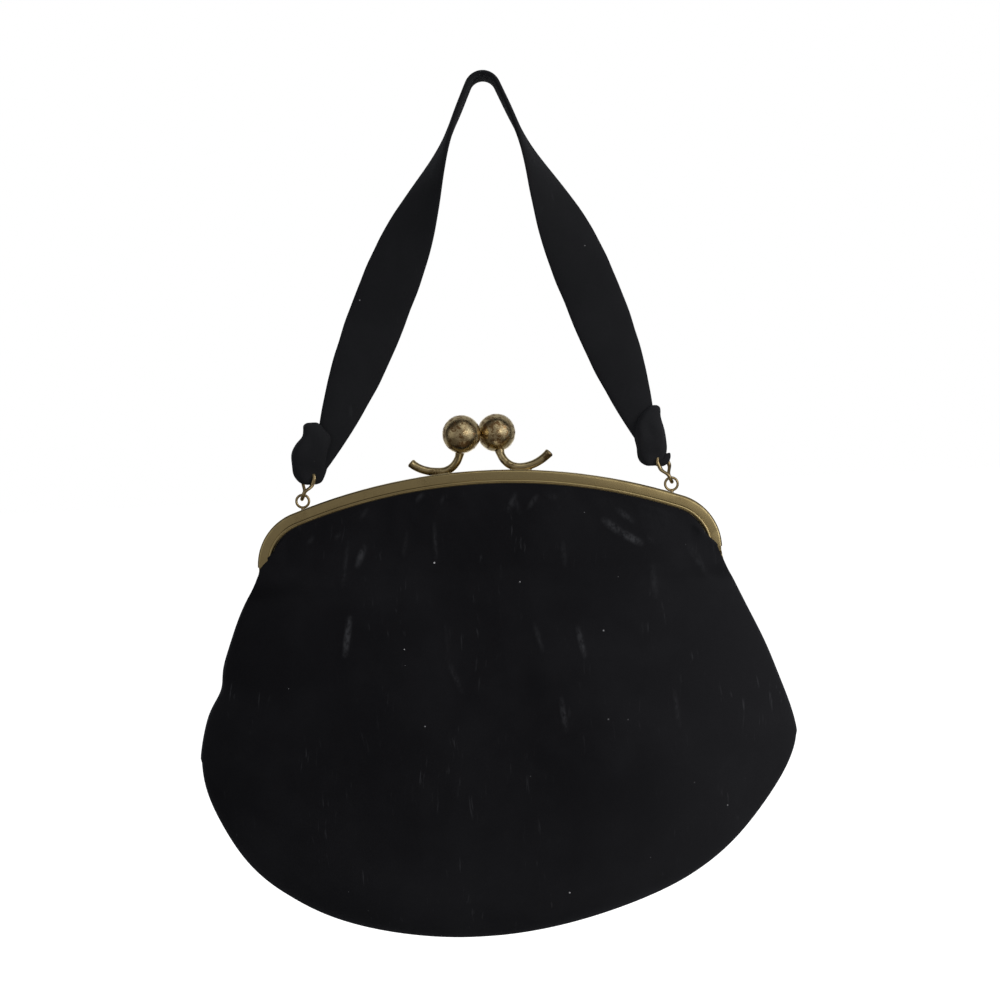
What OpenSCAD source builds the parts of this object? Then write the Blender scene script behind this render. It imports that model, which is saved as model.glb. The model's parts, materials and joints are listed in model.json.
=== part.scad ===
// Evening purse with an arched kiss lock frame, hanging from its strap.
// Z is up and the front faces -Y. The origin is under the strap's arch, where a hook carries it.
// The modules are drawn about the middle of the hinge axis, and place() moves them to the origin.

/* [Frame] */
// Width of the closed frame over its sides
frame_w = 176; // [140:1:215]
// Outside radius of the long arch
arch_r = 217; // [200:1:320]
// Outside radius of the two corners
corner_r = 21; // [15:0.5:26]
// Height of the hinge lugs, from the hinge axis to the corners
leg_h = 5.2; // [4.6:0.1:8]
// Depth of one channel rail, front to back
rail_depth = 4.5; // [4:0.1:6]
// Height of the rail's outer face
face_h = 5.1; // [4.4:0.1:7]
// Height of the rail's inner wall
inner_wall_h = 4.2; // [3.4:0.1:6]
// Thickness of the rail's sheet metal
sheet_t = 0.7; // [0.5:0.05:0.8]
// Radius of the rounded edge along the rail's top
edge_r = 1.1; // [0.8:0.1:1.6]
// Diameter of the half round bead along the face
bead_d = 1.5; // [1:0.1:2]
// Gap between the two closed rails
parting_gap = 0.3; // [0.2:0.05:0.6]

/* [Hinge] */
// Radius of the round end of each hinge lug
lug_r = 3.4; // [2.8:0.1:3.8]
// Thickness of each lug
lug_t = 0.9; // [0.7:0.1:1.2]
// Play between the two lugs
lug_play = 0.2; // [0.15:0.05:0.4]
// Diameter of the hinge rivet's shank
rivet_d = 2; // [1.6:0.1:2.6]
// Clearance on radius where the front lug turns on the rivet
rivet_play = 0.15; // [0.1:0.05:0.3]
// Radius of the rivet's heads
rivet_head_r = 1.9; // [1.6:0.1:2.4]
// Height of the rivet's heads
rivet_head_h = 0.6; // [0.4:0.1:0.8]

/* [Kiss lock] */
// Diameter of the two balls
ball_d = 14.6; // [11:0.1:18]
// Thickness of the hollow balls' wall
ball_wall = 0.6; // [0.4:0.1:1.2]
// How far the balls bite past each other when they snap
ball_bite = 1.4; // [0.6:0.1:2]
// Gap between the closed balls
ball_gap = 0.3; // [0.2:0.05:0.5]
// Distance that the lock sits left of the frame's middle
lock_shift = 2; // [0:0.5:8]
// Height of the balls' centres over the top of the rail
ball_rise = 14; // [11:0.5:19]
// Distance from a ball's centre out to its arm's foot
foot_reach = 8.6; // [7.5:0.1:12]
// Thickness of the arms in front view
arm_t = 2.8; // [2:0.1:3]
// Width of the arms, front to back
arm_w = 3; // [2.2:0.1:3.4]
// Length of the upturned tail beyond the foot
tail_len = 11; // [7:0.1:13]
// Rise of the tail's tip over the foot
tail_rise = 4.9; // [3:0.1:7]
// Height of the back and the front arm's middle over the rail at the foot
foot_h = [0.7, 1.1];

/* [Eyelets and links] */
// Distance of the eyelets in from the frame's sides
eyelet_inset = 17.7; // [16:0.1:40]
// Radius of the eyelet ring on its wire's centre
eyelet_r = 2.4; // [2.4:0.1:3.4]
// Wire diameter of the eyelet ring
eyelet_wire = 1; // [0.9:0.1:1.3]
// Height of the solder post under the ring
post_h = 0.2; // [0.1:0.1:2]
// Length of the oval link over its outside
link_len = 12.4; // [11:0.2:16]
// Half width of the oval link on its wire's centre
link_r = 2.7; // [2.6:0.1:3.4]
// Wire diameter of the oval link
link_wire = 1.5; // [1.2:0.1:1.6]
// Lean of the links towards the strap's arch, in degrees
link_lean = 22; // [10:1:28]

/* [Strap] */
// Height of the arch's middle over the eyelets
strap_h = 158; // [110:1:220]
// Distance that the arch sits right of the frame's middle
arch_shift = 5.5; // [0:0.5:10]
// Bend radius of the arch on the strap's middle
arch_bend = 6; // [5:0.5:20]
// Widest part of the strap
strap_w = 22; // [16:0.5:28]
// Thickness of the strap
strap_t = 2.6; // [2:0.1:3.5]
// Width of the strap where it is gathered through a link
gather_w = 3.2; // [2.8:0.1:3.4]
// Thickness of the strap where it is gathered through a link
gather_t = 3.4; // [2.8:0.1:3.5]
// Length of each end that is folded back up on the outside
fold_len = 19; // [10:0.5:22]
// Outward bow of the left and the right leg
leg_bow = [0.5, 2.5];

/* [Bag] */
// How far the bag swells beyond the frame on each side
flare = 25; // [12:0.5:40]
// Depth of the bag below the hinge axis
bag_drop = 138.5; // [105:0.5:175]
// Depth of the widest line below the hinge axis
widest_drop = 67; // [50:0.5:85]
// Distance that the hanging bag's bottom has swung to the left
bag_lean = 9; // [0:0.5:12]
// Swell of the front panel from the middle plane
front_swell = 24; // [18:0.5:34]
// Swell of the back panel from the middle plane
back_swell = 32; // [18:0.5:36]
// Swell of both panels at the hinge axis
neck_swell = 10; // [8:0.5:13]
// Thickness of the velvet
velvet_t = 1; // [0.8:0.05:1.05]
// Thickness of the felt interlining
felt_t = 0.8; // [0.6:0.05:1]
// Thickness of the lining
lining_t = 0.6; // [0.4:0.05:0.6]
// Diameter of the paper cord that jams the cloth into a rail
cord_d = 0.9; // [0.7:0.05:0.9]
// Depth below the hinge axis at which the front lining begins
fold_drop = 16; // [14:0.5:20]

/* [Hidden] */

metal = "#b59f66";
velvet = "#17171c";
paper = "#b8a888";
felt = "#4a4a4e";
satin = "#2b2b30";

ROUND = 64;
ARCH_ROUND = 720;
// The corners are drawn a hair larger than the arch and reach into it by a small angle
join_step = 0.03;
join_angle = 1.4;
// The arch meets the corners at this angle from straight up
half_w = frame_w / 2;
arch_a = asin((half_w - corner_r) / (arch_r - corner_r));
corner_x = half_w - corner_r;
corner_z = leg_h;
arch_z = corner_z - (arch_r - corner_r) * cos(arch_a);
frame_top = arch_z + arch_r;
rail_in = parting_gap / 2;
rail_out = rail_in + rail_depth;
rail_mid = (rail_in + rail_out) / 2;

// Cloth in a channel, measured from the middle plane to the face of the velvet
layer_gap = 0.15;
cloth_out = rail_out - sheet_t - layer_gap;
felt_in = velvet_t + layer_gap;
lining_in = felt_in + felt_t + layer_gap;
cord_y = cloth_out - velvet_t - (lining_in - velvet_t) / 2;
seam_y = parting_gap / 2;

ball_pitch = ball_d - ball_bite;
ball_y = sqrt(pow(ball_d + ball_gap, 2) - pow(ball_pitch, 2)) / 2;
ball_z = frame_top + ball_rise;
ball_x = ball_pitch / 2;

eyelet_x = half_w - eyelet_inset;
eyelet_z = arch_height(eyelet_x, 0) + post_h + eyelet_r + eyelet_wire / 2;
hook_play = 0.4;
hook_out = 0.2;
link_seat = eyelet_z + eyelet_r - eyelet_wire / 2 - hook_play - link_wire / 2;
link_run = link_len - link_wire;

// The strap goes round a link's top wire at this radius
wrap_play = 0.2;
wrap_r = link_wire / 2 + wrap_play + gather_w / 2;
hang_z = eyelet_z + strap_h - strap_t / 2;

bag_half = half_w + flare;
lug_gap = 2.6;
seam_start = lug_r + lug_gap;

function mix(a, b, t) = a + (b - a) * t;
function smooth(t) = let (c = min(1, max(0, t))) c * c * (3 - 2 * c);
function unit(v) = v / norm(v);

// Height of the arch's outside at x, in by the depth d
function arch_height(x, d) = arch_z + sqrt(pow(arch_r - d, 2) - x * x);

// Point along the frame's outline at s from -1 to 1, in by the depth d, as [x, z]
arch_share = 0.77;
corner_end = 80;
function outline(s, d) =
    let (k = abs(s), side = s < 0 ? -1 : 1)
    k <= arch_share
        ? let (a = arch_a * k / arch_share)
            [side * (arch_r - d) * sin(a), arch_z + (arch_r - d) * cos(a)]
        : let (a = mix(arch_a, corner_end, (k - arch_share) / (1 - arch_share)))
            [side * (corner_x + (corner_r - d) * sin(a)), corner_z + (corner_r - d) * cos(a)];

module place() {
    translate([-arch_shift, -rail_mid, -hang_z]) children();
}

// Closed skin through rings of points, with flat ends
module skin(rings) {
    n = len(rings[0]);
    m = len(rings);
    sides = [
        for (i = [0 : m - 2], j = [0 : n - 1])
            let (a = i * n + j, b = i * n + (j + 1) % n)
            each [[a, b, b + n], [a, b + n, a + n]]
    ];
    ends = [
        [for (j = [n - 1 : -1 : 0]) j],
        [for (j = [0 : n - 1]) (m - 1) * n + j]
    ];
    polyhedron([for (r = rings) each r], concat(sides, ends), convexity = 10);
}

// Closed wall between an outer and an inner sheet that have the same rows of points
module wall(outer, inner) {
    n = len(outer[0]);
    m = len(outer);
    k = n * m;
    faces = [
        for (i = [0 : m - 2], j = [0 : n - 2])
            let (a = i * n + j)
            each [[a, a + 1, a + n + 1], [a, a + n + 1, a + n],
                [k + a, k + a + n + 1, k + a + 1], [k + a, k + a + n, k + a + n + 1]]
    ];
    long_edges = [
        for (j = [0 : n - 2])
            let (b = (m - 1) * n + j)
            each [[j, k + j, k + j + 1], [j, k + j + 1, j + 1],
                [b, b + 1, k + b + 1], [b, k + b + 1, k + b]]
    ];
    side_edges = [
        for (i = [0 : m - 2])
            let (a = i * n, b = i * n + n - 1)
            each [[a, a + n, k + a + n], [a, k + a + n, k + a],
                [b, k + b, k + b + n], [b, k + b + n, b + n]]
    ];
    points = concat([for (r = outer) each r], [for (r = inner) each r]);
    polyhedron(points, concat(faces, long_edges, side_edges), convexity = 10);
}

// Frame rails

// Section of one rail, grown by g: x is the radius, y the distance from the middle plane
module rail_section(r, g) {
    low = r - face_h;
    difference() {
        union() {
            translate([low - g, rail_in - g]) square([face_h - edge_r + g, rail_depth + 2 * g]);
            translate([low - g, rail_in - g]) square([face_h + 2 * g, rail_depth - edge_r + g]);
            translate([r - edge_r, rail_out - edge_r]) circle(r = edge_r + g, $fn = ROUND);
            translate([low + bead_d / 2, rail_out - bead_d / 6])
                circle(d = bead_d + 2 * g, $fn = ROUND);
        }
        translate([low - 1, rail_in + sheet_t + g])
            square([face_h + 1 - sheet_t - g, rail_depth - 2 * sheet_t - 2 * g]);
        translate([low - 1, rail_in - 1])
            square([face_h + 1 - inner_wall_h - g, rail_depth - sheet_t + 1 - g]);
    }
}

// Sweeps one section along the arch and a second one round both corners, towards -Y
module along_frame(corner_sweep) {
    translate([0, 0, arch_z]) rotate([90, 0, 0]) rotate([0, 0, 90 - arch_a])
        rotate_extrude(angle = 2 * arch_a, $fn = ARCH_ROUND) children(0);
    for (side = [0, 1]) mirror([side, 0, 0])
        translate([corner_x, 0, corner_z]) rotate([90, 0, 0]) rotate([0, 0, 90 - arch_a - corner_sweep])
            rotate_extrude(angle = corner_sweep + join_angle, $fn = ROUND) children(1);
}

// Solid that fills the space under the rail's top
module under_arch() {
    translate([0, 0, arch_z]) rotate([90, 0, 0])
        cylinder(r = arch_r, h = 4 * rail_out, center = true, $fn = ARCH_ROUND);
}

// Lug with its inner face at x, reaching up to the height h on the side of the rail
module lug(x, h, hole_r) {
    difference() {
        union() {
            translate([x, 0, 0]) rotate([0, 90, 0]) cylinder(r = lug_r, h = lug_t, $fn = ROUND);
            translate([x, -rail_out, 0]) cube([lug_t, rail_depth, h]);
        }
        translate([x - 1, 0, 0]) rotate([0, 90, 0]) cylinder(r = hole_r, h = lug_t + 2, $fn = ROUND);
    }
}

module rail(lug_x, lug_top, hole_r) {
    color(metal) {
        along_frame(90 - arch_a) {
            rail_section(arch_r, 0);
            rail_section(corner_r, join_step);
        }
        for (side = [0, 1]) mirror([side, 0, 0]) lug(lug_x, lug_top, hole_r);
    }
}

outer_lug_x = half_w - lug_t;
inner_lug_x = outer_lug_x - lug_play - lug_t;
lug_root = 1.2;

module front_rail() {
    place() rail(inner_lug_x, corner_z + lug_root, rivet_d / 2 + rivet_play);
}

module back_rail() {
    place() mirror([0, 1, 0]) rail(outer_lug_x, corner_z, rivet_d / 2);
}

// Rivet through both lugs, with a domed head outside and a flat one inside
module hinge_rivet(side) {
    inner_face = inner_lug_x - lug_play / 2;
    dome_r = (pow(rivet_head_r, 2) + pow(rivet_head_h, 2)) / (2 * rivet_head_h);
    color(metal) place() mirror([side < 0 ? 1 : 0, 0, 0]) rotate([0, 90, 0]) {
        translate([0, 0, inner_face]) cylinder(d = rivet_d, h = half_w - inner_face, $fn = ROUND);
        translate([0, 0, inner_face - rivet_head_h])
            cylinder(r = rivet_head_r, h = rivet_head_h, $fn = ROUND);
        intersection() {
            translate([0, 0, half_w + rivet_head_h - dome_r]) sphere(r = dome_r, $fn = ROUND);
            translate([0, 0, half_w]) cylinder(r = rivet_head_r, h = rivet_head_h, $fn = ROUND);
        }
    }
}

module left_hinge_rivet() {
    hinge_rivet(-1);
}

module right_hinge_rivet() {
    hinge_rivet(1);
}

// Kiss lock

// Point on a cubic curve
function curve(p, t) =
    pow(1 - t, 3) * p[0] + 3 * t * pow(1 - t, 2) * p[1] + 3 * t * t * (1 - t) * p[2] + pow(t, 3) * p[3];

// Oval ring of the arm at a point that faces along a direction
ARM_SIDES = 12;
function arm_ring(p, along, t, w) =
    let (up = unit(cross(along, [0, 1, 0])), side = cross(along, up))
    [for (j = [0 : ARM_SIDES - 1])
        let (a = 360 * j / ARM_SIDES)
        p + up * t / 2 * cos(a) + side * w / 2 * sin(a)];

// Arm for a ball on the right, carried by the front rail and leaning to the back
arm_x = ball_x + foot_reach;
arm_y = rail_in + (rail_depth - edge_r) / 2;
pad_len = 8.4;
pad_w = 3;
pad_h = 0.3;
pad_seat = 0.1;
function foot_at(side) = [arm_x, -arm_y, arch_height(arm_x, 0) + foot_h[side < 0 ? 0 : 1]];
ball_right = [ball_x, ball_y, ball_z];
arm_lean = unit([0.14, -0.32, -1]);
arm_end = ball_right + arm_lean * (ball_d / 2 + 0.05);
neck_pull = [4.6, 3.4];
tail_pull = [2.6, 4.4];
function neck_curve(foot) =
    [foot, foot - [neck_pull[0], 0, 0], arm_end + arm_lean * neck_pull[1], arm_end];
function tail_curve(foot) =
    let (tip = foot + [tail_len, 0, tail_rise])
    [tip, tip - [tail_pull[0], 0, tail_pull[0]], foot + [tail_pull[1], 0, 0], foot];
tail_thin = 0.92;
neck_thin = 0.9;
NECK_STEPS = 14;
TAIL_STEPS = 10;

module kiss_arm(side) {
    foot = foot_at(side);
    tail = [for (i = [0 : TAIL_STEPS - 1]) curve(tail_curve(foot), i / TAIL_STEPS)];
    neck = [for (i = [0 : NECK_STEPS]) curve(neck_curve(foot), i / NECK_STEPS)];
    path = concat(tail, neck);
    last = len(path) - 1;
    rings = [
        for (i = [0 : last])
            let (
                along = unit(path[min(i + 1, last)] - path[max(i - 1, 0)]),
                tail_taper = mix(tail_thin, 1, smooth(i / TAIL_STEPS)),
                neck_taper = mix(1, neck_thin, smooth((i - TAIL_STEPS) / NECK_STEPS)),
                taper = tail_taper * neck_taper
            )
            arm_ring(path[i], along, arm_t * taper, arm_w * taper)
    ];
    difference() {
        skin(rings);
        lock_to_rail(side) over_pad();
    }
}

// Solid up to the top of the pads under the arms
module over_pad() {
    translate([0, 0, arch_z]) rotate([90, 0, 0])
        cylinder(r = arch_r + pad_h + pad_seat, h = 4 * rail_out, center = true, $fn = ARCH_ROUND);
}

// Undoes the turn and the shift of one half of the lock
module lock_to_rail(side) {
    rotate([0, 0, side < 0 ? -180 : 0]) translate([lock_shift, 0, 0]) children();
}

// The lock stands left of the frame's middle, and its back half is the front one turned round
module lock_half(side) {
    place() translate([-lock_shift, 0, 0]) rotate([0, 0, side < 0 ? 180 : 0]) children();
}

module front_kiss_arm() {
    color(metal) lock_half(1) kiss_arm(1);
}

module back_kiss_arm() {
    color(metal) lock_half(-1) kiss_arm(-1);
}

// Long round ended pad that lies along the rail's slope under an arm
module arm_foot(side) {
    run = (pad_len - pad_w) / 2;
    x = side * arm_x - lock_shift;
    color(metal) place() translate([x, -side * arm_y, arch_height(x, 0)]) rotate([0, asin(x / arch_r), 0])
        linear_extrude(pad_h) {
            for (end = [-run, run]) translate([end, 0]) circle(d = pad_w, $fn = ROUND);
            square([2 * run, pad_w], center = true);
        }
}

module front_arm_foot() {
    arm_foot(1);
}

module back_arm_foot() {
    arm_foot(-1);
}

module kiss_ball(side) {
    color(metal) lock_half(side) translate(ball_right) difference() {
        sphere(d = ball_d, $fn = ROUND);
        sphere(d = ball_d - 2 * ball_wall, $fn = ROUND);
    }
}

module front_kiss_ball() {
    kiss_ball(1);
}

module back_kiss_ball() {
    kiss_ball(-1);
}

// Eyelets and links

module eyelet(side) {
    post_r = eyelet_wire * 0.75;
    ring_low = eyelet_z - eyelet_r;
    color(metal) place() mirror([side < 0 ? 1 : 0, 0, 0]) {
        translate([eyelet_x, rail_mid, eyelet_z]) rotate([90, 0, 0]) rotate_extrude($fn = ROUND)
            translate([eyelet_r, 0]) circle(d = eyelet_wire, $fn = ROUND);
        difference() {
            translate([eyelet_x, rail_mid, ring_low - post_h - eyelet_wire])
                cylinder(r = post_r, h = post_h + eyelet_wire, $fn = ROUND);
            under_arch();
        }
    }
}

module left_eyelet() {
    eyelet(-1);
}

module right_eyelet() {
    eyelet(1);
}

// Oval link in the plane that leans with the strap, hooked under the eyelet's top wire
module link(side) {
    straight = link_run - 2 * link_r;
    color(metal) place() mirror([side < 0 ? 1 : 0, 0, 0])
        translate([eyelet_x + hook_out, rail_mid, link_seat]) rotate([0, -link_lean, 0])
        translate([0, 0, link_r]) {
            for (y = [-link_r, link_r]) translate([0, y, 0])
                cylinder(d = link_wire, h = straight, $fn = ROUND);
            translate([0, 0, straight]) link_bend();
            mirror([0, 0, 1]) link_bend();
        }
}

module link_bend() {
    rotate([90, 0, 90]) rotate_extrude(angle = 180, $fn = ROUND)
        translate([link_r, 0]) circle(d = link_wire, $fn = ROUND);
}

module left_link() {
    link(-1);
}

module right_link() {
    link(1);
}

// Strap

// Places in the strap's plane are [x, z], and side is -1 on the left and 1 on the right
arch_centre = [arch_shift, eyelet_z + strap_h - arch_bend];
function wire_top(side) =
    [side * (eyelet_x + hook_out - link_run * sin(link_lean)), link_seat + link_run * cos(link_lean)];
function turn(a) = [cos(a), sin(a)];

// Angle from a link's wire to the point where the leg leaves it, on its inner side
function leg_angle(side) =
    let (d = arch_centre - wire_top(side))
    atan2(d[1], d[0]) + side * acos((wrap_r + arch_bend) / norm(d));

function leg_low(side) = wire_top(side) + wrap_r * turn(leg_angle(side));
function leg_high(side) = arch_centre - arch_bend * turn(leg_angle(side));

// A station is [[x, z], width, thickness, twist]: the strap widens out of the link
// to a leaf and turns edge on towards the arch
open_share = 0.4;
rise_share = 0.12;
twist_start = 0.42;
twist_share = 0.53;
leg_plump = 0.3;
function leg_station(side, t) =
    let (
        bow = leg_bow[side < 0 ? 0 : 1] * sin(180 * t),
        place = mix(leg_low(side), leg_high(side), t) - bow * turn(leg_angle(side)),
        open = 1 - pow(1 - min(1, t / open_share), 2),
        full_t = strap_t * (1 + leg_plump * (1 - smooth(t)))
    )
    [place, mix(gather_w, strap_w, open), mix(gather_t, full_t, smooth(t / rise_share)),
        90 * smooth((t - twist_start) / twist_share)];

function wrap_station(side, t) =
    [wire_top(side) + wrap_r * turn(leg_angle(side) + side * 180 * t), gather_w, gather_t, 0];

// The folded end leans away from the leg and closes to a blunt tip
fold_lean = 5;
fold_plump = 0.8;
fold_depth = 0.6;
fold_tip = 0.5;
function fold_station(side, t) =
    let (
        up = unit(leg_high(side) - leg_low(side)),
        out = -turn(leg_angle(side)),
        spread = wrap_r + fold_lean * smooth(t),
        swell = 1 + fold_plump * sin(150 * t),
        tip = t < 1 ? 1 : fold_tip
    )
    [wire_top(side) + out * spread + up * fold_len * t, gather_w * swell * tip,
        gather_t * mix(1, swell, fold_depth) * tip, 0];

function arch_station(t) =
    let (a = mix(leg_angle(-1) + 180, leg_angle(1) - 180, t))
    [arch_centre + arch_bend * turn(a), strap_w, strap_t, 90];

FOLD_STEPS = 6;
WRAP_STEPS = 8;
LEG_STEPS = 18;
ARCH_STEPS = 8;
function half_strap(side) = concat(
    [for (i = [FOLD_STEPS : -1 : 1]) fold_station(side, i / FOLD_STEPS)],
    [for (i = [WRAP_STEPS : -1 : 1]) wrap_station(side, i / WRAP_STEPS)],
    [for (i = [0 : LEG_STEPS - 1]) leg_station(side, i / LEG_STEPS)]
);
function reversed(list) = [for (i = [len(list) - 1 : -1 : 0]) list[i]];
strap_stations = concat(
    half_strap(-1),
    [for (i = [0 : ARCH_STEPS]) arch_station(i / ARCH_STEPS)],
    reversed(half_strap(1))
);

STRAP_SIDES = 12;
function strap_ring(i) =
    let (
        last = len(strap_stations) - 1,
        s = strap_stations[i],
        along = unit(strap_stations[min(i + 1, last)][0] - strap_stations[max(i - 1, 0)][0]),
        across = [-along[1], along[0]]
    )
    [for (j = [0 : STRAP_SIDES - 1])
        let (
            a = 360 * j / STRAP_SIDES,
            wide = s[1] / 2 * cos(a),
            thick = s[2] / 2 * sin(a),
            in_plane = wide * cos(s[3]) - thick * sin(s[3]),
            out_plane = wide * sin(s[3]) + thick * cos(s[3])
        )
        [s[0][0] + across[0] * in_plane, rail_mid + out_plane, s[0][1] + across[1] * in_plane]];

module strap() {
    color(velvet) place() skin([for (i = [0 : len(strap_stations) - 1]) strap_ring(i)]);
}

// Bag

// Cloth sheets are rows of points across the bag, at a depth in from the velvet's face.
// u runs from -1 to 1 across the bag.
COLUMNS = 22;
function across_bag() = [for (j = [0 : COLUMNS]) 2 * j / COLUMNS - 1];

// Pillow section across a row
pillow_powers = [2.6, 0.62];
function pillow(u) = pow(max(0, 1 - pow(abs(u), pillow_powers[0])), pillow_powers[1]);

// Row that follows the frame, at the depth d in from its outside
function frame_row(d, inset) =
    [for (u = across_bag()) let (p = outline(u, d)) [p[0], cloth_out - inset, p[1]]];

// Row at the hinge axis: the velvet passes in front of the lugs and the other layers inside them
lug_clear = 2.4;
cover = 0.4;
function hinge_row(inset) =
    let (
        outside = inset <= velvet_t,
        w = outside ? half_w + rivet_head_h : inner_lug_x - lug_clear,
        edge = (outside ? rail_out + velvet_t + cover : cloth_out + cover) - inset
    )
    [for (u = across_bag()) [u * w, edge + (neck_swell - inset - edge) * pillow(u), 0]];

// Rows from the frame's lip down towards the hinge axis, to the share stop of the way
NECK_ROWS = 4;
lip_gap = 0.75;
function neck_rows(inset, stop) =
    let (lip = frame_row(face_h + lip_gap, inset), low = hinge_row(inset))
    [for (i = [0 : NECK_ROWS])
        let (t = stop * i / NECK_ROWS)
        [for (j = [0 : COLUMNS])
            [mix(lip[j][0], low[j][0], t * t), mix(lip[j][1], low[j][1], smooth(t)),
                mix(lip[j][2], low[j][2], t)]]];

function lean_at(z) = bag_lean * max(0, -z - widest_drop) / (bag_drop - widest_drop);
function bag_row(z, w, swell) =
    [for (u = across_bag()) [u * w - lean_at(z), seam_y + (swell - seam_y) * pillow(u), z]];

// Rows down to the widest line, for every sheet at the same depths from the depth start on.
// The inner sheets stay clear of the lugs in the first row.
SIDE_ROWS = 4;
neck_step = 6;
lug_tuck = 1.8;
flare_power = 1.38;
swell_power = 1.6;
side_depths = concat([seam_start, seam_start + neck_step],
    [for (i = [0 : SIDE_ROWS]) mix(fold_drop, widest_drop, i / SIDE_ROWS)]);
function side_rows(start, swell, inset) =
    [for (depth = side_depths) if (depth >= start)
        let (
            up = 1 - depth / widest_drop,
            tuck = inset > velvet_t && depth == seam_start ? lug_tuck : 0,
            w = bag_half - flare * pow(up, flare_power) - tuck,
            d = swell - (swell - neck_swell) * pow(up, swell_power)
        )
        bag_row(-depth, w - inset, d - inset)];

// Rows round the bottom, a quarter of an ellipse that ends in a short edge at the seam
end_a = 84;
function bottom_rows(swell, inset) =
    let (drop = bag_drop - widest_drop - inset, w = bag_half - inset)
    concat(
        [for (a = [11, 22, 34, 46, 57, 68, 78])
            bag_row(-widest_drop - drop * sin(a), w * cos(a), (swell - inset) * pow(cos(a), 0.7))],
        [bag_row(-widest_drop - drop, w * cos(end_a), seam_y)]
    );

function pouch_rows(start, swell, inset) =
    concat(side_rows(start, swell, inset), bottom_rows(swell, inset));

// A whole panel runs from the frame down to the bottom
function panel_rows(swell, inset, top) =
    concat(top, neck_rows(inset, 1), pouch_rows(seam_start, swell, inset));

// Top row of a sheet, up inside the rail's channel
top_gap = 0.3;
function channel_row(inset) = [frame_row(sheet_t + top_gap, inset)];

module to_back() {
    mirror([0, 1, 0]) children();
}

module velvet_panel(swell) {
    wall(panel_rows(swell, 0, channel_row(0)), panel_rows(swell, velvet_t, channel_row(velvet_t)));
}

module back_panel() {
    color(velvet) place() velvet_panel(back_swell);
}

module front_panel() {
    color(velvet) place() to_back() velvet_panel(front_swell);
}

module back_interlining() {
    color(felt) place()
        wall(panel_rows(back_swell, felt_in, []), panel_rows(back_swell, felt_in + felt_t, []));
}

module front_interlining() {
    color(felt) place() to_back()
        wall(
            pouch_rows(fold_drop, front_swell, felt_in),
            pouch_rows(fold_drop, front_swell, felt_in + felt_t));
}

module back_lining() {
    deep = lining_in + lining_t;
    color(satin) place() wall(
        panel_rows(back_swell, lining_in, channel_row(lining_in)),
        panel_rows(back_swell, deep, channel_row(deep)));
}

module front_lining() {
    deep = lining_in + lining_t;
    color(satin) place() to_back()
        wall(pouch_rows(fold_drop, front_swell, lining_in), pouch_rows(fold_drop, front_swell, deep));
}

// Upper part of the front lining, which swings forward with the front rail
mouth_share = 0.93;
module mouth_lining() {
    deep = lining_in + lining_t;
    color(satin) place() to_back() wall(
        concat(channel_row(lining_in), neck_rows(lining_in, mouth_share)),
        concat(channel_row(deep), neck_rows(deep, mouth_share)));
}

// Paper cord between the velvet and the lining in a channel
cord_gap = 0.35;
module channel_cord() {
    inset = sheet_t + cord_gap + cord_d / 2;
    color(paper) along_frame(corner_end - arch_a) {
        translate([arch_r - inset, cord_y]) circle(d = cord_d, $fn = ROUND);
        translate([corner_r - inset, cord_y]) circle(d = cord_d + 2 * join_step, $fn = ROUND);
    }
}

module front_channel_cord() {
    place() channel_cord();
}

module back_channel_cord() {
    place() to_back() channel_cord();
}

back_rail();
front_rail();
left_hinge_rivet();
right_hinge_rivet();
back_kiss_arm();
front_kiss_arm();
back_arm_foot();
front_arm_foot();
back_kiss_ball();
front_kiss_ball();
left_eyelet();
right_eyelet();
left_link();
right_link();
strap();
back_channel_cord();
front_channel_cord();
back_panel();
front_panel();
back_interlining();
front_interlining();
back_lining();
front_lining();
mouth_lining();
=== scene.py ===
"""Velvet evening purse with a kiss lock frame, hanging from its strap."""

import json
import math

import bmesh
import bpy
from mathutils import Matrix, Vector, noise


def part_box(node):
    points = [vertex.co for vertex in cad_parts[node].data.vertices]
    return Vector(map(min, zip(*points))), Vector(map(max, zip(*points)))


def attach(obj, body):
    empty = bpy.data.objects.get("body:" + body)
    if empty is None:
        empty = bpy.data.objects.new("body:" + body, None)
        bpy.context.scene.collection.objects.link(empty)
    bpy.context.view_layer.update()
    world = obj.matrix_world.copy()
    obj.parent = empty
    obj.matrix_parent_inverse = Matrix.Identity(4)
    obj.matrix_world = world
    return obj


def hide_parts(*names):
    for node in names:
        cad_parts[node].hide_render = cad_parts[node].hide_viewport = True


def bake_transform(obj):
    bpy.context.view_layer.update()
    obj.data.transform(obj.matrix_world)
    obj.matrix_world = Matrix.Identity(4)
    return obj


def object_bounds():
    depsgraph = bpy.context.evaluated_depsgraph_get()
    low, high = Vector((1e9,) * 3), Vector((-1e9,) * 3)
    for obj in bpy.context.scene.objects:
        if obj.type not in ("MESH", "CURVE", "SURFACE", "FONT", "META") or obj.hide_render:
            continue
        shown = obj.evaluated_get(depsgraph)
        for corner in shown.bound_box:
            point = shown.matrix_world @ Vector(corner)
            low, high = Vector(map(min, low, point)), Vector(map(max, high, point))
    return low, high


bl_info = {
    "name": "Kiss Lock Purse",
    "version": (1, 0, 0),
    "blender": (4, 5, 0),
    "location": "3D View > Sidebar > Purse",
    "description": "Builds the velvet bag, its strap, its frame and the studio round them",
    "category": "Object",
}

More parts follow.
